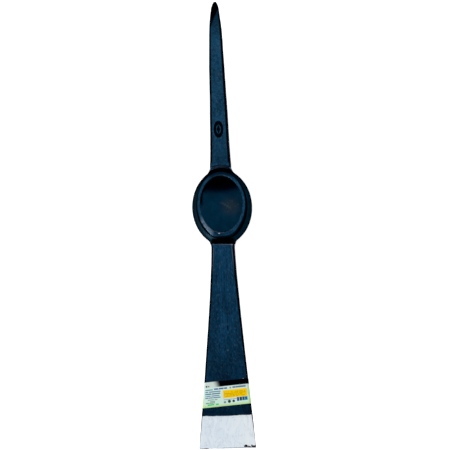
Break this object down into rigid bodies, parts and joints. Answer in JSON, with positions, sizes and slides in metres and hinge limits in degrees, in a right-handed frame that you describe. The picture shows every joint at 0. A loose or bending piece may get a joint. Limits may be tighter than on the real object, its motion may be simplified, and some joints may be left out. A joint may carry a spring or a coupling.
{
  "type": "grub hoe head",
  "caption": "Forged grub hoe head with a long pick arm, a tapered oval handle eye with a raised collar, and a broad blade ground to a bright edge, in dark lacquer.",
  "frame": {"origin": "on the axis of the handle eye, at the plane of its wide mouth, which is the face the head rests on", "axes": "+Z along the eye from its wide mouth to its narrow collared mouth, on the user's side; +Y towards the pick's tip, so the blade's edge is at -Y; +X across the head"},
  "size_m": [0.0766, 0.56, 0.0803],
  "materials": {
    "lacquered_eye": "dark blue-green lacquer over forge scale, satin",
    "lacquered_arms": "dark blue-green lacquer over forged faces, satin",
    "lacquered_blade": "dark blue-green lacquer over lengthwise grinding marks, satin",
    "ground_edge": "bare ground steel, light wrinkles and a few rust spots",
    "label_paper": null
  },
  "bodies": {
    "root": {"eye_socket": "lacquered_eye", "pick_arm": "lacquered_arms", "pick_point": "lacquered_arms", "grub_blade": "lacquered_blade", "cutting_edge": "ground_edge", "label_band": "label_paper"}
  },
  "joints": []
}
